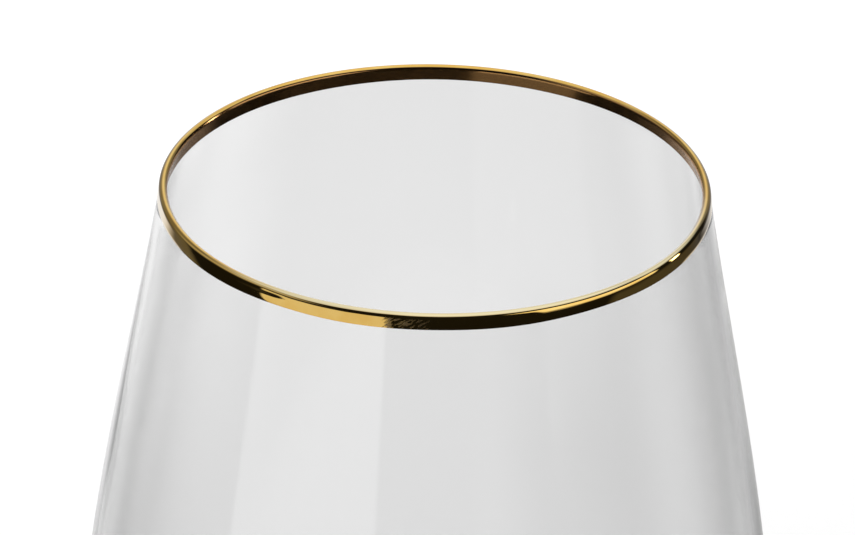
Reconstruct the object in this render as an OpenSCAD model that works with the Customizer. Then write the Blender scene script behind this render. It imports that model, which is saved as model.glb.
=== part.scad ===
// Stemless wine glass: a blown glass bowl with a band of fired gold round its lip.
// The foot stands on z = 0 and the bowl's axis is z.

/* [Bowl] */
// Height from the table to the top of the glass lip
height = 118; // [104:1:136]
// Outer diameter where the wall meets the lip
rim_d = 66; // [58:1:74]
// Outer diameter at the widest point
belly_d = 90; // [84:1:100]
// Height of the widest point above the table
belly_h = 42; // [36:1:48]
// Lean of the wall at the rim, in degrees from upright
rim_lean = 10.5; // [7:0.5:13]
// How far down the upper wall keeps close to that lean
shoulder_reach = 21; // [14:1:28]

/* [Glass thickness] */
// Thickness of the wall at the lip
lip_t = 0.9; // [0.7:0.05:1.4]
// Thickness of the wall at the widest point
belly_t = 1.2; // [0.9:0.05:1.8]
// Thickness of the base, from the table to the floor inside
base_t = 4.5; // [3.5:0.1:7]
// Diameter of the level floor inside
well_d = 52; // [44:1:58]

/* [Foot] */
// Outer diameter of the flat ring that the glass stands on
foot_d = 54; // [48:1:60]
// Width of that ring
foot_ring_w = 3; // [2:0.5:6]
// Depth of the shallow hollow inside the ring
punt_depth = 1.2; // [0.6:0.1:2]

/* [Gold band] */
// Height of the band down the outside, from the top of the lip
band_out_h = 1.7; // [1.2:0.1:4]
// Height of the band down the inside, from the top of the lip
band_in_h = 2; // [1.2:0.1:4]
// Thickness of the gold film
film_t = 0.06; // [0.04:0.01:0.15]

/* [Hidden] */

// Steps along each curve of the outline, and round the axis
wall_steps = 32;
bowl_steps = 24;
lip_steps = 12;
punt_steps = 8;
$fn = 180;

// Straight wall left bare below the deeper edge of the band, before the bowl starts to curve
land_margin = 1;

glass_tint = [0.86, 0.88, 0.89, 0.4];
gold_colour = [0.86, 0.66, 0.27];

rim_r = rim_d / 2;
belly_r = belly_d / 2;
foot_r = foot_d / 2;
well_r = well_d / 2;
punt_r = foot_r - foot_ring_w;
lip_r = lip_t / 2;

// Unit vectors at the rim: down the leaning wall, and square to it, outwards
down_wall = [sin(rim_lean), -cos(rim_lean)];
out_of_wall = [cos(rim_lean), sin(rim_lean)];

// The lip is a half circle across the end of the wall, and its top is at the full height
lip_centre = [rim_r - lip_r * cos(rim_lean), height - lip_r];
lip_outer = lip_centre + lip_r * out_of_wall;
lip_inner = lip_centre - lip_r * out_of_wall;

// Length along the wall from the lip's end down to a depth below the top of the lip
function wall_run(from, depth) = (from[1] - (height - depth)) / cos(rim_lean);

// The wall is straight down to the land's end, where the curve of the bowl begins
land_depth = max(band_out_h, band_in_h) + land_margin;
land_end = lip_outer + wall_run(lip_outer, land_depth) * down_wall;

// The bowl below its widest point is a quarter ellipse down to the foot.
// The handle above the widest point gives both curves the same bend there.
belly_bend_r = belly_h * belly_h / (belly_r - foot_r);
shoulder = land_end + shoulder_reach * [tan(rim_lean), -1];
belly_handle = sqrt(2 / 3 * (belly_r - shoulder[0]) * belly_bend_r);
wall_curve = [land_end, shoulder, [belly_r, belly_h + belly_handle], [belly_r, belly_h]];

// A point of a cubic curve, and the unit vector square to it on its outer side
function curve_point(p, t) =
    pow(1 - t, 3) * p[0] + 3 * t * pow(1 - t, 2) * p[1] + 3 * t * t * (1 - t) * p[2] + pow(t, 3) * p[3];
function curve_slope(p, t) =
    pow(1 - t, 2) * (p[1] - p[0]) + 2 * t * (1 - t) * (p[2] - p[1]) + t * t * (p[3] - p[2]);
function outward(slope) = [-slope[1], slope[0]] / norm(slope);

// The wall thickens evenly from the lip to the widest point
function wall_t(t) = lip_t + (belly_t - lip_t) * t * t * (3 - 2 * t);

function outer_wall() = [for (i = [0 : wall_steps]) curve_point(wall_curve, i / wall_steps)];
function inner_wall() = [for (i = [wall_steps : -1 : 0]) let (t = i / wall_steps)
    curve_point(wall_curve, t) - wall_t(t) * outward(curve_slope(wall_curve, t))];

// A quarter ellipse below the widest point, from a belly radius in and down to a floor
function bowl_point(side_r, flat_r, floor_z, angle) =
    [flat_r + (side_r - flat_r) * cos(angle), belly_h - (belly_h - floor_z) * sin(angle)];
function outer_bowl() = [for (i = [1 : bowl_steps]) bowl_point(belly_r, foot_r, 0, 90 * i / bowl_steps)];
function inner_bowl() = [for (i = [bowl_steps : -1 : 1])
    bowl_point(belly_r - belly_t, well_r, base_t, 90 * i / bowl_steps)];

// The hollow under the foot, from the standing ring to the axis
function punt() = [for (i = [0 : punt_steps]) let (r = punt_r * (1 - i / punt_steps))
    [r, punt_depth * (1 - pow(r / punt_r, 2))]];

// The half round end of the wall, at a distance off the glass, from the inside to the outside
function lip(off_glass) = [for (i = [0 : lip_steps]) let (angle = rim_lean + 180 * (1 - i / lip_steps))
    lip_centre + (lip_r + off_glass) * [cos(angle), sin(angle)]];

// The gold film's face at a distance off the glass, from the band's inner edge over the lip to its outer edge
function band_face(off_glass) = concat(
    [lip_inner + wall_run(lip_inner, band_in_h) * down_wall - off_glass * out_of_wall],
    lip(off_glass),
    [lip_outer + wall_run(lip_outer, band_out_h) * down_wall + off_glass * out_of_wall]);

function reversed(points) = [for (i = [len(points) - 1 : -1 : 0]) points[i]];

// The blown bowl: one wall from the lip to the foot, thickest in the base
module glass_bowl() {
    color(glass_tint)
        rotate_extrude()
            polygon(concat(
                lip(0), outer_wall(), outer_bowl(), punt(), [[0, base_t]], inner_bowl(), inner_wall()));
}

// The fired gold: one film over the lip, lying on the glass on both sides
module gold_rim_band() {
    color(gold_colour)
        rotate_extrude()
            polygon(concat(band_face(film_t), reversed(band_face(0))));
}

glass_bowl();
gold_rim_band();
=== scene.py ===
# %% [markdown]
# # A stemless wine glass with a gold lip
#
# This lesson dresses a drinking glass. The real one is blown in one piece from clear glass, and a brush
# then lays a band of liquid gold round its lip, which the kiln fires on. So there are two pieces and two
# finishes, and nearly all of the look is what they mirror and bend. The frame holds the solids at their
# real size, in metres, with the foot on z = 0 and the axis on z, and everything below is placed in that
# frame.

# %% Load the frame
import bpy
import math
from functools import reduce
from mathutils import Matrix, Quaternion, Vector
from mathutils.geometry import interpolate_bezier


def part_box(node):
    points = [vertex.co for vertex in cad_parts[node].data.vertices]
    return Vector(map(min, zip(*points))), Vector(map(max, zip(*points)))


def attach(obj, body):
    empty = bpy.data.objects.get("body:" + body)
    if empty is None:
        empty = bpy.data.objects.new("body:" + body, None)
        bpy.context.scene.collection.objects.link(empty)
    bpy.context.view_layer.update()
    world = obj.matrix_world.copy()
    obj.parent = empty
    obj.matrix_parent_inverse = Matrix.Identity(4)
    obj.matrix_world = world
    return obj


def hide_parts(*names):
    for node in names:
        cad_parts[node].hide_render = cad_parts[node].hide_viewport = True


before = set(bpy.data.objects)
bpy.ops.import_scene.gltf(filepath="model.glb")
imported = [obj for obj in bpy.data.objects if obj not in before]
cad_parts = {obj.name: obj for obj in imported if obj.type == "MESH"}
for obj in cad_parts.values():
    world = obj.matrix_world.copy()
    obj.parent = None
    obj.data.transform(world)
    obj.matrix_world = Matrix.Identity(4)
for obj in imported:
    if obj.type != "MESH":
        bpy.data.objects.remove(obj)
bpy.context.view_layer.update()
MM = 0.001

# %% [markdown]
# ## The camera
#
# The photograph looks down on the lip from a little way off, with a long lens, and cuts the bowl off below
# its shoulder. The lip's ellipse gives the height of the view: its short axis over its long one is close to
# the sine of the angle. The camera is set by the point that it looks at, so it needs no lens shift, and by
# a small roll.

# %% Place the camera
lip_top = Vector((0, 0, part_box("glass_bowl")[1][2]))
view_distance = 396 * MM
view_height = math.radians(27.16)
view_roll = math.radians(1.03)
looks_at = lip_top + Vector((-0.72, 0, -11.92)) * MM
lens_mm = 138.9
sensor_mm = 36

camera_data = bpy.data.cameras.new("photo_camera")
camera_data.sensor_width = sensor_mm
camera_data.sensor_fit = "HORIZONTAL"
camera_data.lens = lens_mm
camera_data.clip_start = 10 * MM
camera = bpy.data.objects.new("photo_camera", camera_data)
bpy.context.scene.collection.objects.link(camera)
camera.location = lip_top + view_distance * Vector((0, -math.cos(view_height), math.sin(view_height)))
aim = (looks_at - camera.location).to_track_quat("-Z", "Y")
camera.rotation_mode = "QUATERNION"
camera.rotation_quaternion = aim @ Quaternion((0, 0, 1), view_roll)
bpy.context.scene.camera = camera
print("camera at", [round(place / MM) for place in camera.location], "mm, lens", lens_mm, "mm")

# %% [markdown]
# ## The outline of the glass
#
# A blown bowl is turned as it is shaped, so half of its section says everything. The section has few parts:
# a half round lip, a short straight wall that carries the gold, a long curve to the widest point, a quarter
# ellipse down to the foot, and a shallow hollow under it. A lathe of few points would show flats in the
# glass, which bends every line behind it, so the curves are taken finely. The sizes are those of the
# solids, and the frame gives the height and the width.

# %% Sizes of the glass
height = lip_top.z
belly_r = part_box("glass_bowl")[1][0]
rim_r = 33 * MM
belly_h = 42 * MM
rim_lean = math.radians(10.5)
shoulder_reach = 21 * MM
lip_t = 0.9 * MM
belly_t = 1.2 * MM
base_t = 4.5 * MM
well_r = 26 * MM
foot_r = 27 * MM
punt_r = 24 * MM
punt_depth = 1.2 * MM
band_out_h = 1.7 * MM
band_in_h = 2.0 * MM
land_below_gold = 1.0 * MM
land_depth = max(band_out_h, band_in_h) + land_below_gold
print("glass: %.1f mm high, %.1f mm wide" % (height / MM, 2 * belly_r / MM))

# %% The lip and the straight wall under it, as radius and height
down_wall = Vector((math.sin(rim_lean), -math.cos(rim_lean)))
out_of_wall = Vector((math.cos(rim_lean), math.sin(rim_lean)))
lip_r = lip_t / 2
lip_centre = Vector((rim_r - lip_r * math.cos(rim_lean), height - lip_r))
lip_steps = 24


def arc(centre, radii, start, end, steps):
    """Points of an ellipse's arc between two angles in degrees, both ends included."""
    angles = [math.radians(start + (end - start) * step / steps) for step in range(steps + 1)]
    return [centre + Vector((radii[0] * math.cos(a), radii[1] * math.sin(a))) for a in angles]


def wall_point(side, depth):
    """A point of the straight wall at a depth below the top, on its outer (1) or inner (-1) side."""
    start = lip_centre + side * lip_r * out_of_wall
    return start + down_wall * (start.y - (height - depth)) / math.cos(rim_lean)


lip_degrees = math.degrees(rim_lean)
lip_round = arc(lip_centre, (lip_r, lip_r), lip_degrees, lip_degrees + 180, lip_steps)
land_end = wall_point(1, land_depth)
print("lip: %.2f mm thick, and %.1f mm of straight wall under it" % (lip_t / MM, (land_depth - lip_r) / MM))

# %% The curved wall, from the straight part down to the widest point
wall_steps = 72
shoulder = land_end + shoulder_reach * Vector((math.tan(rim_lean), -1))
belly_bend_r = belly_h ** 2 / (belly_r - foot_r)
belly = Vector((belly_r, belly_h))
belly_handle = belly + Vector((0, math.sqrt(2 / 3 * (belly_r - shoulder.x) * belly_bend_r)))
wall_curve = interpolate_bezier(land_end, shoulder, belly_handle, belly, wall_steps)
outer_wall = [point.to_2d() for point in wall_curve]


def outward_normals(points):
    """Unit vectors square to a line of points that runs downwards, on its outer side."""
    ahead = points[1:] + points[-1:]
    behind = points[:1] + points[:-1]
    slopes = [(after - before).normalized() for after, before in zip(ahead, behind)]
    return [Vector((-slope.y, slope.x)) for slope in slopes]


def wall_thickness(share):
    """The wall thickens evenly from the lip (0) to the widest point (1)."""
    return lip_t + (belly_t - lip_t) * share * share * (3 - 2 * share)


inner_wall = [
    point - wall_thickness(step / (wall_steps - 1)) * normal
    for step, (point, normal) in enumerate(zip(outer_wall, outward_normals(outer_wall)))
]
print("wall: %.2f mm thick at the lip, %.2f mm at the widest point" % (lip_t / MM, belly_t / MM))

# %% The bowl, the floor and the hollow under the foot
bowl_steps = 48
floor_steps = 8
punt_steps = 12
inner_radii = (belly_r - belly_t - well_r, belly_h - base_t)
outer_bowl = arc(Vector((foot_r, belly_h)), (belly_r - foot_r, belly_h), 0, -90, bowl_steps)[1:]
inner_bowl = arc(Vector((well_r, belly_h)), inner_radii, 0, -90, bowl_steps)[1:]
floor = [Vector((well_r * step / floor_steps, base_t)) for step in reversed(range(floor_steps))]
punt = [
    Vector((punt_r * step / punt_steps, punt_depth * (1 - (step / punt_steps) ** 2)))
    for step in range(punt_steps + 1)
]
outside = punt + list(reversed(outer_bowl)) + list(reversed(outer_wall))
glass_section = outside + lip_round + inner_wall + inner_bowl + floor
print("section of the glass:", len(glass_section), "points")

# %% [markdown]
# ## The glass
#
# Blown glass is never quite true: the wall is a little thicker here and thinner there, in long soft waves,
# and that is why the edge of a lamp wavers in it. A bump would bend only the shading, so the waves are put
# into the mesh itself, a few hundredths of a millimetre high, and differently inside and outside. The spin
# takes a section for each angle, so the same helper can also turn the gold, whose edges wander. Smooth
# shading would round off the gold's cut edges, so edges that turn by more than a set angle stay sharp.

# %% Spin a section round the axis
sharp_from = math.radians(40)


def spin(name, section_at, segments, closed):
    """A mesh turned from the section that section_at gives for each angle.

    A closed section joins its last point to its first. An open one starts and ends on the axis.
    """
    sections = [section_at(2 * math.pi * turn / segments) for turn in range(segments)]
    count = len(sections[0])
    vertices = []
    ring = []
    for index in range(count):
        on_axis = not closed and index in (0, count - 1)
        ring.append((len(vertices), 1 if on_axis else segments))
        for turn in range(1 if on_axis else segments):
            radius, z = sections[turn][index]
            angle = 2 * math.pi * turn / segments
            vertices.append((radius * math.cos(angle), radius * math.sin(angle), z))
    faces = []
    for index in range(count if closed else count - 1):
        (first, first_size), (second, second_size) = ring[index], ring[(index + 1) % count]
        for turn in range(segments):
            after = turn + 1
            corners = [
                first + turn % first_size,
                first + after % first_size,
                second + after % second_size,
                second + turn % second_size,
            ]
            faces.append(list(dict.fromkeys(corners)))
    mesh = bpy.data.meshes.new(name)
    mesh.from_pydata(vertices, [], faces)
    mesh.validate()
    mesh.shade_smooth()
    mesh.set_sharp_from_angle(angle=sharp_from)
    piece = bpy.data.objects.new(name, mesh)
    bpy.context.scene.collection.objects.link(piece)
    print(name, "has", len(vertices), "points and", len(faces), "faces")
    return piece


# %% Blow the glass
wave_heights = (0.02 * MM, 0.01 * MM, 0.006 * MM, 0.002 * MM)
waves_round = (2, 3, 5, 11)
waves_up = (26, 55, 90, 240)
waves_fade = 10 * MM
outside_shift = 0.7
inside_shift = 2.9
glass_segments = 256


def blown_wave(angle, z, shift):
    """Unevenness of the wall at a place, in metres: waves that close round the bowl."""
    total = sum(
        wave_height * math.sin(round_count * angle + up_count * z + shift * (order + 1))
        for order, (wave_height, round_count, up_count) in enumerate(zip(wave_heights, waves_round, waves_up))
    )
    away_from_lip = min(1, max(0, (height - land_depth - z) / waves_fade))
    away_from_foot = min(1, z / belly_h)
    return total * away_from_lip * away_from_foot


def blown_section(angle):
    """The section at an angle, with the waves of the outer and the inner face. The axis stays where it is."""
    points = []
    for index, point in enumerate(glass_section):
        shift = outside_shift if index < len(outside) else inside_shift
        wave = blown_wave(angle, point.y, shift) if point.x else 0
        points.append((point.x + wave, point.y))
    return points


glass_bowl = spin("blown_glass_bowl", blown_section, glass_segments, closed=False)
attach(glass_bowl, "root")
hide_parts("glass_bowl")

# %% [markdown]
# ## The gold
#
# Liquid gold is laid by brush on the turning glass. The film gathers into a low roll on the outside, under
# the lip, and thins out below it: slowly in front, and elsewhere only near its edge. One stroke of the brush
# left the roll lower down and drew a groove above it. The edges follow the hand, by hundredths of a
# millimetre outside and two tenths inside. Each of these shows in the picture: the roll spreads a lamp's
# reflection over the band, the groove cuts a dark wedge into it, and the wandering edges keep the band from
# looking printed. The film is a closed shell that dips a little into the glass, so that no two faces lie in
# one place.

# %% Shape of the film
film_thin = 0.02 * MM
film_top = 0.06 * MM
film_roll = 0.1 * MM
film_dip = 0.02 * MM
roll_at = 0.95 * MM
low_roll_at = 1.35 * MM
groove_from = 0.3 * MM
groove_at = 0.75 * MM
groove_depth = 0.045 * MM
stroke_begins = (210, 222)
stroke_ends = (234, 243)
slow_thinning = 2
late_thinning = 8
front_limits = (0.35, 0.55)


def eased(value, low, high):
    """0 below low, 1 above high and an eased rise between them."""
    share = min(1, max(0, (value - low) / (high - low)))
    return share * share * (3 - 2 * share)


def low_stroke(angle):
    """1 along the one stroke of the brush that left the roll lower down, 0 elsewhere."""
    turn = math.degrees(angle)
    return eased(turn, *stroke_begins) * (1 - eased(turn, *stroke_ends))


def thinning(angle):
    """How the film runs out below the roll: slowly in front, and only near its edge elsewhere."""
    in_front = eased(-math.sin(angle), *front_limits)
    return late_thinning + (slow_thinning - late_thinning) * in_front


def inside_film(distance, edge):
    """Thickness of the film inside the lip, at a distance from the lip's top."""
    return film_thin + (film_top - film_thin) * (1 - (distance / edge) ** 2)


def outside_film(distance, edge, stroke, power):
    """Thickness of the film outside: up to the roll, with the stroke's groove, and down to the edge."""
    roll = roll_at + (low_roll_at - roll_at) * stroke
    if distance > roll:
        return film_thin + (film_roll - film_thin) * (1 - ((distance - roll) / (edge - roll)) ** power)
    groove = eased(distance, groove_from, groove_at) * (1 - eased(distance, groove_at, low_roll_at))
    return film_top + (film_roll - film_top) * eased(distance, 0, roll) - groove_depth * groove * stroke


print("film: %.2f mm at its edges, %.2f mm in the roll" % (film_thin / MM, film_roll / MM))

# %% Lay the gold
face_steps = 24
gold_segments = 512
inside_drift = 0.2 * MM
outside_drift = 0.02 * MM
outside_drift_at = math.radians(112)
tremor = 0.03 * MM


def band_depths(angle):
    """How far the gold runs down inside and outside at an angle, which counts from the x axis."""
    inside_wander = tremor * math.sin(7 * angle) - inside_drift * math.cos(angle)
    outside_wander = outside_drift * math.cos(3 * (angle + outside_drift_at)) - tremor * math.sin(11 * angle)
    return band_in_h + inside_wander, band_out_h + outside_wander


def wall_line(side, depth):
    """Points down one side of the straight wall, each with the direction out of the glass."""
    top, low = wall_point(side, lip_r), wall_point(side, depth)
    return [(top.lerp(low, step / face_steps), side * out_of_wall) for step in range(1, face_steps + 1)]


def film_section(angle):
    """The film's closed section at an angle: over the lip on its face, and back just inside the glass."""
    depth_in, depth_out = band_depths(angle)
    over_lip = [(point, (point - lip_centre).normalized()) for point in reversed(lip_round)]
    line = list(reversed(wall_line(-1, depth_in))) + over_lip + wall_line(1, depth_out)
    lengths = [0]
    for (before, _), (after, _) in zip(line, line[1:]):
        lengths.append(lengths[-1] + (after - before).length)
    lip_middle = lengths[face_steps] + lip_r * math.pi / 2
    stroke = low_stroke(angle)
    face = []
    for (point, normal), length in zip(line, lengths):
        distance = length - lip_middle
        if distance < 0:
            thickness = inside_film(distance, -lip_middle)
        else:
            thickness = outside_film(distance, lengths[-1] - lip_middle, stroke, thinning(angle))
        face.append(point + thickness * normal)
    back = [point - film_dip * normal for point, normal in reversed(line)]
    return [tuple(point) for point in face + back]


gold_band = spin("fired_gold_band", film_section, gold_segments, closed=True)
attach(gold_band, "root")
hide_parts("gold_rim_band")

# %% [markdown]
# ## Sums with sockets
#
# A finish is a sum of masks and noises, and a Math node for each step is slow to read. The class below
# wraps a node's output, so that plain Python operators add the Math nodes. Every other node comes from one
# method, which takes the node's type, its settings and its sockets.

# %% A socket that takes part in sums
class Socket:
    """A node's output. Each operator adds one Math node to its tree and gives that node's output."""

    def __init__(self, shader, output):
        self.shader = shader
        self.output = output

    def of(self, name):
        """Another output of the same node."""
        return Socket(self.shader, self.output.node.outputs[name])

    def math(self, operation, *numbers):
        return self.shader.node("ShaderNodeMath", {"operation": operation}, dict(enumerate(numbers)))

    def __add__(self, other):
        return self.math("ADD", self, other)

    def __sub__(self, other):
        return self.math("SUBTRACT", self, other)

    def __rsub__(self, other):
        return self.math("SUBTRACT", other, self)

    def __mul__(self, other):
        return self.math("MULTIPLY", self, other)

    def __neg__(self):
        return self.math("MULTIPLY", self, -1)

    def __pow__(self, power):
        return self.math("POWER", self, power)

    def __gt__(self, other):
        return self.math("GREATER_THAN", self, other)

    def __abs__(self):
        return self.math("ABSOLUTE", self)

    __radd__ = __add__
    __rmul__ = __mul__

    def or_more(self, other):
        """The larger of two values."""
        return self.math("MAXIMUM", self, other)

    def rise(self, low, high, kind="LINEAR"):
        """0 below low, 1 above high and a rise between them."""
        limits = {"From Min": low, "From Max": high, "Value": self}
        return self.shader.node("ShaderNodeMapRange", {"interpolation_type": kind}, limits)

    def smooth(self, low, high):
        """The same rise, eased at both ends."""
        return self.rise(low, high, "SMOOTHSTEP")


class Shader:
    """The node tree of a material or a world, started afresh."""

    def __init__(self, owner):
        owner.use_nodes = True
        self.tree = owner.node_tree
        self.tree.nodes.clear()

    def node(self, kind, settings=None, sockets=None):
        """A new node: its settings are set first, then each socket gets its value or its link."""
        made = self.tree.nodes.new(kind)
        for name, value in (settings or {}).items():
            setattr(made, name, value)
        takes = [socket for socket in made.inputs if socket.enabled]
        gives = [socket for socket in made.outputs if socket.enabled]
        for name, value in (sockets or {}).items():
            taken = takes[name] if isinstance(name, int) else next(s for s in takes if s.name == name)
            if isinstance(value, Socket):
                self.tree.links.new(value.output, taken)
            else:
                taken.default_value = value
        return Socket(self, gives[0]) if gives else None


print("sums with sockets are ready")

# %% [markdown]
# ## The glass finish
#
# Clear glass has no colour of its own to speak of. What shows that it is real is how little it is perfect:
# the skin is not equally smooth all over, because fingers and cloths leave faint films, and the fire leaves
# small ripples that the long waves of the mesh don't hold. So the roughness and a very faint bump come from
# noise in the object's own coordinates. Lamps have to reach the table through the glass, and a path tracer
# finds those paths slowly, so a shadow ray is let through, less of it where the wall is seen edge on.

# %% Make the glass finish
film_size = 26 * MM
streak_sizes = (17 * MM, 17 * MM, 110 * MM)
streak_height = 0.2 * MM
streak_strength = 0.06
film_roughness = 0.015
glass_ior = 1.51
shadow_clear = 0.95
shadow_edge_loss = 0.7


def grain(shader, place, sizes, detail, lean=0):
    """Noise whose grains have three sizes in metres, leaning by an angle about the y axis."""
    turned = {"Vector": place, "Rotation": (0, lean, 0), "Scale": sizes}
    stretched = shader.node("ShaderNodeMapping", {"vector_type": "TEXTURE"}, turned)
    return shader.node("ShaderNodeTexNoise", None, {"Vector": stretched, "Scale": 1, "Detail": detail})


def glass_finish():
    material = bpy.data.materials.new("clear_blown_glass")
    shader = Shader(material)
    place = shader.node("ShaderNodeTexCoord").of("Object")
    film = grain(shader, place, (film_size, film_size, film_size), detail=3)
    streaks = grain(shader, place, streak_sizes, detail=2)
    fire_ripple = {"Strength": streak_strength, "Distance": streak_height, "Height": streaks}
    ripple = shader.node("ShaderNodeBump", None, fire_ripple)
    glass = shader.node(
        "ShaderNodeBsdfPrincipled",
        None,
        {
            "Base Color": (1, 1, 1, 1),
            "Roughness": film.smooth(0.5, 0.85) * film_roughness,
            "IOR": glass_ior,
            "Transmission Weight": 1,
            "Normal": ripple,
        },
    )
    edge_on = shader.node("ShaderNodeLayerWeight", None, {"Blend": 0.5}).of("Facing")
    in_shadow = shader.node("ShaderNodeLightPath").of("Is Shadow Ray")
    lets_through = in_shadow * (shadow_clear - shadow_edge_loss * edge_on ** 4)
    clear = shader.node("ShaderNodeBsdfTransparent")
    both = shader.node("ShaderNodeMixShader", None, {0: lets_through, 1: glass, 2: clear})
    shader.node("ShaderNodeOutputMaterial", None, {"Surface": both})
    return material


glass_bowl.data.materials.append(glass_finish())
print("glass finish on", glass_bowl.name)

# %% [markdown]
# ## The gold finish
#
# Fired gold is a true mirror of a warm colour, and its bright parts are the lamps, except for a painted
# highlight on top of the lip in front. Its own marks are few. The kiln leaves faint clouds in the tone. Where
# the gold is seen edge on, a Layer Weight node blends its colour paler: a painted sheen. Inside the lip the
# film is thinner still and mirrors less sharply, and its colour is painted darker and browner: painted shade.
# Along the front the top of the lip has a painted highlight: its colour is pale gold, and nearly white at its
# inner side. The brush leaves fine lines round the band, and one lap in front, where the stroke ends over its
# own start: there the film lies in small slanted ripples, and the ripples are brown and dull.

# %% Tell where a place lies on the band
DEGREES = math.degrees(1)


def degrees_from_front(shader, parts):
    """Degrees round the axis from the side that faces the camera, positive to the right."""
    towards_front = -parts.of("Y")
    turn = shader.node("ShaderNodeMath", {"operation": "ARCTAN2"}, {0: parts.of("X"), 1: towards_front})
    return turn * DEGREES


def across_the_wall(shader, place, parts):
    """Distance from the middle of the leaning wall, positive on its outer side."""
    flat = shader.node("ShaderNodeVectorMath", {"operation": "MULTIPLY"}, {0: place, 1: (1, 1, 0)})
    radius = shader.node("ShaderNodeVectorMath", {"operation": "LENGTH"}, {0: flat})
    return radius - lip_centre.x + (parts.of("Z") - lip_centre.y) * math.tan(rim_lean)


def blend(shader, share, first, second):
    """A colour between two others."""
    return shader.node("ShaderNodeMix", {"data_type": "RGBA"}, {"Factor": share, "A": first, "B": second})


print("places on the band count from its front, %.2f mm from the axis" % (lip_centre.x / MM))

# %% Make the gold finish
deep_gold = (0.9, 0.56, 0.14, 1)
light_gold = (0.96, 0.65, 0.2, 1)
# colour of the painted sheen where the gold is seen edge on
painted_sheen_gold = (0.94, 0.83, 0.67, 1)
# colour of the painted shade inside the lip
shaded_inner_gold = (0.5, 0.27, 0.1, 1)
# colours of the painted highlight on the top of the lip in front
highlight_gold = (0.97, 0.88, 0.58, 1)
highlight_white = (0.93, 0.91, 0.86, 1)
ripple_brown = (0.4, 0.29, 0.18, 1)
cloud_size = 3.85 * MM
brush_sizes = (6.7 * MM, 6.7 * MM, 0.385 * MM)
ripple_sizes = (0.95 * MM, 1 * MM, 0.27 * MM)
ripple_lean = math.radians(-32)
brush_relief = 0.005
ripple_relief = 0.008
bright_roughness = 0.02
cloud_roughness = 0.04
inner_roughness = 0.1
dull_roughness = 0.34
# where the painted highlight lies, in degrees from the front
highlight_middle = 18
highlight_limits = (40, 75)


def gold_finish():
    material = bpy.data.materials.new("bright_fired_gold")
    shader = Shader(material)
    place = shader.node("ShaderNodeTexCoord").of("Object")
    parts = shader.node("ShaderNodeSeparateXYZ", None, {0: place})
    up = parts.of("Z") - height
    across = across_the_wall(shader, place, parts)
    from_front = degrees_from_front(shader, parts)

    edge_on = shader.node("ShaderNodeLayerWeight", None, {"Blend": 0.5}).of("Facing")
    clouds = grain(shader, place, (cloud_size, cloud_size, cloud_size), detail=4)
    inner_face = 1 - across.smooth(-0.4 * MM, -0.25 * MM)
    # painted highlight: pale colour on the top of the lip, along the front
    painted_highlight = 0.85 * up.smooth(-0.2 * MM, -0.03 * MM) * (1 - abs(from_front - highlight_middle).smooth(*highlight_limits))
    lap = (1 - from_front.smooth(-2, 2)) * (1 - up.smooth(-0.6 * MM, -0.35 * MM))
    ripples = grain(shader, place, ripple_sizes, detail=1, lean=ripple_lean)
    dull = lap * from_front.smooth(-9.4, -8.8) * ripples.smooth(0.42, 0.66)

    tone = blend(shader, clouds.smooth(0.35, 0.7), deep_gold, light_gold)
    # painted sheen: the colour turns pale where the gold is seen edge on
    tone = blend(shader, edge_on.smooth(0.55, 0.8), tone, painted_sheen_gold)
    # painted shade: darker, browner colour on the inside of the lip
    tone = blend(shader, inner_face, tone, shaded_inner_gold)
    # painted highlight: nearly white on the lip's inner side, pale gold on its outer side
    tone = blend(shader, painted_highlight, tone, blend(shader, across.smooth(-0.07 * MM, 0.13 * MM), highlight_white, highlight_gold))
    tone = blend(shader, dull * 0.8, tone, ripple_brown)

    brush_lines = grain(shader, place, brush_sizes, detail=2) * (1 - 0.8 * inner_face)
    rippled = lap * from_front.smooth(-10.2, -9.6) * (ripples - 0.5)
    relief = brush_lines * brush_relief + rippled * ripple_relief
    strokes = shader.node("ShaderNodeBump", None, {"Strength": 1, "Distance": 1 * MM, "Height": relief})
    roughness = bright_roughness + clouds.smooth(0.3, 0.8) * cloud_roughness
    roughness = roughness + inner_face * inner_roughness + dull * dull_roughness
    gold = shader.node(
        "ShaderNodeBsdfPrincipled",
        None,
        {"Base Color": tone, "Metallic": 1, "Roughness": roughness, "Normal": strokes},
    )
    shader.node("ShaderNodeOutputMaterial", None, {"Surface": gold})
    return material


gold_band.data.materials.append(gold_finish())
print("gold finish on", gold_band.name)

# %% [markdown]
# ## The table
#
# The glass stands on a pale table that fades out before its rim, so that it has no horizon. A path tracer
# can tell rays apart by what they met on the way, and the table makes use of it. Straight to the camera it
# is white, with the shadow of the glass on it. Through the glass it is greyer, with painted light at both
# sides, more than in the middle, and a painted shadow in one strip. A ray that was mirrored finds it mostly
# clear, so that the gold mirrors a dark studio and keeps its contrast, and only a pool round the foot is
# left, without which the base would be black.

# %% Tell rays apart
class Ray:
    """What a ray has met on its way, as counts or as 0 and 1."""

    def __init__(self, shader):
        path = shader.node("ShaderNodeLightPath")
        self.from_camera = path.of("Is Camera Ray")
        self.through = path.of("Is Transmission Ray")
        self.crossings = path.of("Transmission Depth")
        self.mirrors = path.of("Glossy Depth")
        self.mirrored = self.mirrors > 0.5
        self.seen_through = self.through * (1 - self.mirrored)


print("rays are told apart by what they met")

# %% Make the table
table_r = 600 * MM
table_grey = (0.8, 0.8, 0.8, 1)
table_drop = 0.01 * MM
pool_limits = (24 * MM, 36 * MM)
pool_share = 0.4
glow_to_camera = 0.31
glow_further_off = 0.2
glow_in_mirror = 0.12


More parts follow.
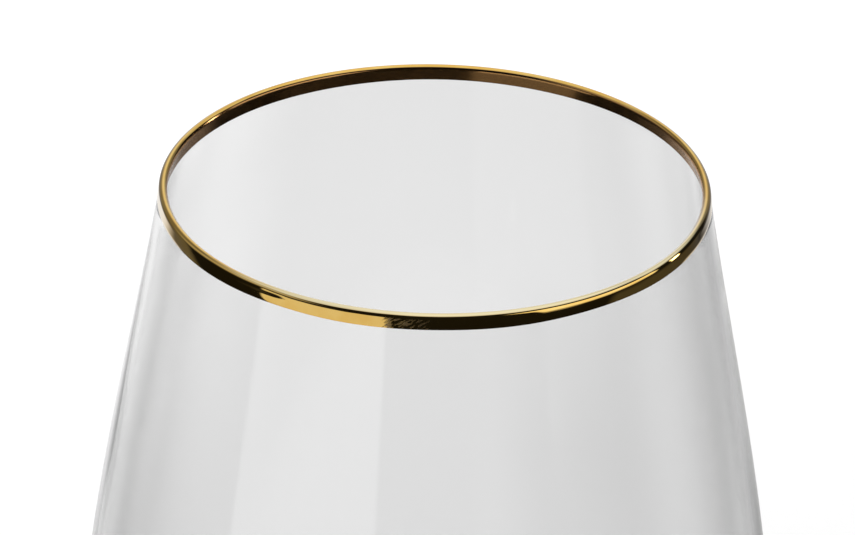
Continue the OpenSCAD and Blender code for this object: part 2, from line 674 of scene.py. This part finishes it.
def painted_light_behind_glass(across, behind, from_middle):
    """Painted light behind the glass, more at both sides and further off, and a painted shadow in one strip.
    """
    left_behind = 0.17 * (1 - across.smooth(-52 * MM, -28 * MM)) * behind.rise(70 * MM, 170 * MM)
    far_left = 0.14 * (1 - across.smooth(-62 * MM, -52 * MM))
    far_right = 0.1 * across.smooth(38 * MM, 50 * MM)
    further_off = 0.05 * from_middle.rise(90 * MM, 200 * MM)
    # painted shadow: a darker strip right of the middle
    shadow_strip = across.smooth(10 * MM, 22 * MM) * (1 - across.smooth(33 * MM, 45 * MM))
    painted_shadow_strip = 0.055 * shadow_strip * (1 - behind.rise(130 * MM, 190 * MM))
    return 0.15 + left_behind + far_left + far_right + further_off - painted_shadow_strip


def table_finish():
    material = bpy.data.materials.new("pale_table")
    shader = Shader(material)
    ray = Ray(shader)
    place = shader.node("ShaderNodeTexCoord").of("Object")
    parts = shader.node("ShaderNodeSeparateXYZ", None, {0: place})
    from_middle = shader.node("ShaderNodeVectorMath", {"operation": "LENGTH"}, {0: place})
    further_off = from_middle.rise(80 * MM, 300 * MM)
    to_camera = ray.from_camera * (glow_to_camera + glow_further_off * further_off)
    # painted light and painted shadow on the table, seen through the glass
    painted_behind_glass = ray.seen_through * painted_light_behind_glass(parts.of("X"), parts.of("Y"), from_middle)
    in_mirror = ray.mirrored * glow_in_mirror
    pale = shader.node("ShaderNodeBsdfDiffuse", None, {"Color": table_grey})
    glow = shader.node("ShaderNodeEmission", None, {"Color": to_camera + painted_behind_glass + in_mirror})
    lit = shader.node("ShaderNodeAddShader", None, {0: pale, 1: glow})
    clear = shader.node("ShaderNodeBsdfTransparent")
    past_pool = ray.mirrored * (1 - pool_share * (1 - from_middle.smooth(*pool_limits)))
    fade = from_middle.smooth(0.6 * table_r, 0.95 * table_r).or_more(past_pool)
    both = shader.node("ShaderNodeMixShader", None, {0: fade, 1: lit, 2: clear})
    shader.node("ShaderNodeOutputMaterial", None, {"Surface": both})
    return material


table_corners = 120
table_turns = [2 * math.pi * corner / table_corners for corner in range(table_corners)]
table_edge = [(table_r * math.cos(turn), table_r * math.sin(turn), 0) for turn in table_turns]
table_mesh = bpy.data.meshes.new("pale_table")
table_mesh.from_pydata(table_edge, [], [list(range(len(table_edge)))])
table_mesh.materials.append(table_finish())
table = bpy.data.objects.new("pale_table", table_mesh)
bpy.context.scene.collection.objects.link(table)
table.location.z = -table_drop
print("table: %.1f m across" % (2 * table_r))

# %% [markdown]
# ## The studio
#
# Gold is a mirror and the skin of glass is a faint one, so what stands round the glass is most of its look.
# All of it is drawn in the world, by angles round from the camera's side and up from level. Each thing can
# be read off the photograph: a point of the round lip mirrors one direction, so a bright patch there gives
# a lamp's place. A low softbox on the left makes the gold patch in front and the pale panel in the glass
# under it. A slanted panel on the right makes the second line of gold, and a bare lamp the two hot spots.
# The ceiling makes the pale line along the lip. The backdrop is bright low down, where the edges of the
# glass mirror it, and dim at the height of the lip, so the rim's two ends stay deep gold.

# %% Tell where a ray looks in the studio
class Sight:
    """The direction of a ray that leaves for the studio, in degrees, and what it met on its way."""

    def __init__(self, shader):
        direction = shader.node("ShaderNodeTexCoord").of("Generated")
        parts = shader.node("ShaderNodeSeparateXYZ", None, {0: direction})
        self.right, self.away = parts.of("X"), parts.of("Y")
        self.round = degrees_from_front(shader, parts)
        self.up = shader.node("ShaderNodeMath", {"operation": "ARCSINE"}, {0: parts.of("Z")}) * DEGREES
        self.ray = Ray(shader)
        self.in_wall = self.ray.crossings > 0.5

    def panel(self, left, right, low, high, edge=2):
        """1 inside a panel given by its limits round and up, with a soft edge."""
        across = (right - left) / 2 - abs(self.round - (left + right) / 2)
        upwards = (high - low) / 2 - abs(self.up - (low + high) / 2)
        return across.smooth(-edge / 2, edge / 2) * upwards.smooth(-edge / 2, edge / 2)


print("directions count from the camera's side")

# %% Set up the softbox, the panel and the bare lamp
def softbox(sight):
    """Low on the left, its left edge slanted, dimmer at its foot and in the far wall of the glass."""
    slanted_edge = (sight.round + 68.9 - 0.114 * sight.up).smooth(-1, 1)
    brightness = 0.22 + 0.53 * sight.up.smooth(-48, -22)
    in_far_wall = sight.ray.crossings > 2.5
    return sight.panel(-84, -18, -62, -5) * slanted_edge * brightness * (1 - 0.6 * in_far_wall)


def side_panel(sight):
    """On the right, level with the lip, with a slanted left edge and a soft lower one."""
    slanted_edge = (sight.round - 38.4 + 0.54 * sight.up).smooth(-1.5, 1.5)
    return 1.1 * sight.panel(20, 97, -14, 20, 3) * slanted_edge * sight.up.smooth(-12, -6)


def bare_lamp(sight):
    """Small and bright, to the right and a little behind."""
    return 8 * sight.panel(106.5, 111.5, -10, 14, 1)


lamps = [softbox, side_panel, bare_lamp]
print("lamps:", ", ".join(lamp.__name__ for lamp in lamps))

# %% Build the room round them
def above_table(sight):
    """0 for rays that look steeply down, 1 for the others."""
    return sight.up.smooth(-45, -25)


def side_walls(sight):
    """Dim walls on both sides, which keep the dark of the gold from going black."""
    left_high = 0.18 * sight.panel(-140, -72, 4, 60, 8)
    left_low = 0.12 * sight.panel(-140, -112, -40, 20, 10)
    right_low = 0.06 * sight.panel(75, 135, -50, -14, 8) * above_table(sight)
    return left_high.or_more(left_low).or_more(right_low)


def backdrop(sight):
    """Behind the glass: bright low down and for light that ran in the wall, dim at the lip's height.

    It brightens towards straight behind and downwards, most for light in the wall that leaves on the far
    left, and both sides meet straight behind at one level.
    """
    low = 1 - sight.up.smooth(-20, -15)
    at_lip = 0.2 + 0.6 * abs(sight.round).smooth(152, 178)
    leftwards = -sight.round
    far_left = leftwards.smooth(150, 165) * (1 - sight.up.smooth(-28.5, -27))
    lowest_left = (leftwards - 6 * sight.up).smooth(311, 337)
    low_left = 0.88 + 0.75 * far_left * sight.in_wall + 0.6 * lowest_left * (1 - sight.in_wall)
    left = leftwards.smooth(122, 144) * (at_lip + (low_left - at_lip) * low.or_more(sight.in_wall))
    lip_right = at_lip * sight.round.smooth(132, 150)
    low_right = 0.83 * sight.round.smooth(118, 134) * (sight.round - 6 * sight.up).smooth(250, 325)
    wall_right = 0.54 * sight.round.smooth(120, 138)
    right = lip_right + (low_right - lip_right) * low
    right = right + (wall_right - right) * sight.in_wall
    sides = left.or_more(right)
    meeting = abs(sight.round).smooth(158, 180) * low.or_more(sight.in_wall)
    return (sides + (0.95 - sides) * meeting) * above_table(sight)


def ceiling(sight):
    """Overhead, cut off higher up on the camera's side, with a glow down the left and in the right corner."""
    leftwards = -sight.right
    edge = sight.up - 10 * (-sight.away).smooth(0.3, 0.6)
    overhead = edge.smooth(34, 56) * (0.87 - 0.15 * leftwards.smooth(0.05, 0.4))
    left_glow = 0.55 * leftwards.smooth(0.6, 0.85) * sight.up.smooth(-5, 35)
    corner = sight.right.smooth(0.1, 0.3) * sight.away.smooth(0.1, 0.3)
    right_glow = 0.75 * corner * sight.up.smooth(22, 40)
    return overhead.or_more(left_glow).or_more(right_glow)


room = [side_walls, backdrop, ceiling]
print("room:", ", ".join(part.__name__ for part in room))

# %% [markdown]
# ## Who sees the studio
#
# Only a mirrored ray sees the things above. One that was mirrored twice, from gold to gold, sees them
# dimmer, and so the inside of the band stays dark. The camera sees plain white past the glass, and nearly
# white through it. All other rays, which light the table and the gold evenly, see a plain soft grey.

# %% Hang the studio round the glass
dark_corner = 0.01
twice_mirrored_loss = 0.75
white_through_glass = 0.9
plain_level = 0.36

world = bpy.data.worlds.new("studio")
bpy.context.scene.world = world
shader = Shader(world)
sight = Sight(shader)
ray = sight.ray
in_mirror = reduce(Socket.or_more, [thing(sight) for thing in lamps + room])
twice = (ray.mirrors > 1.5) * (1 - (ray.mirrors > 2.5))
in_mirror = in_mirror.or_more(dark_corner) * (1 - twice_mirrored_loss * twice)
plain = (1 - ray.mirrored) * (1 - ray.through) * (1 - ray.from_camera)
past_and_through = ray.from_camera + ray.seen_through * white_through_glass
level = past_and_through + ray.mirrored * in_mirror + plain * plain_level
light = shader.node("ShaderNodeBackground", None, {"Color": level})
shader.node("ShaderNodeOutputWorld", None, {"Surface": light})
print("studio drawn with", len(world.node_tree.nodes), "nodes")

# %% [markdown]
# ## The lamp overhead
#
# One large lamp, high on the left, gives the soft shadow on the table. What the gold and the glass mirror
# is already drawn in the studio, so the lamp itself is hidden from mirrored rays, from rays through the
# glass and from the camera.

# %% Hang the lamp
lamp_place = Vector((-620, -50, 1000)) * MM
lamp_side = 700 * MM
lamp_watts = 9

lamp_data = bpy.data.lights.new("overhead_softbox", "AREA")
lamp_data.shape = "SQUARE"
lamp_data.size = lamp_side
lamp_data.energy = lamp_watts
lamp = bpy.data.objects.new("overhead_softbox", lamp_data)
bpy.context.scene.collection.objects.link(lamp)
lamp.location = lamp_place
lamp.rotation_mode = "QUATERNION"
lamp.rotation_quaternion = (-lamp_place).to_track_quat("-Z", "Y")
lamp.visible_camera = False
lamp.visible_glossy = False
lamp.visible_transmission = False
bpy.context.scene.view_settings.view_transform = "Standard"
print("lamp: %.1f m wide, %.1f m above the table" % (lamp_side, lamp_place.z))

# %% [markdown]
# ## How far light is followed
#
# Light that enters the thick base, or runs along the wall, is turned back inside the glass many times
# before it leaves. With the usual limits those paths are cut off early, and the edges and the base go
# black.

# %% Let light run on in the glass
light_paths = bpy.context.scene.cycles
light_paths.max_bounces = 32
light_paths.glossy_bounces = 24
light_paths.transmission_bounces = 32
light_paths.transparent_max_bounces = 16
print("light is followed through", light_paths.transmission_bounces, "crossings of the glass")
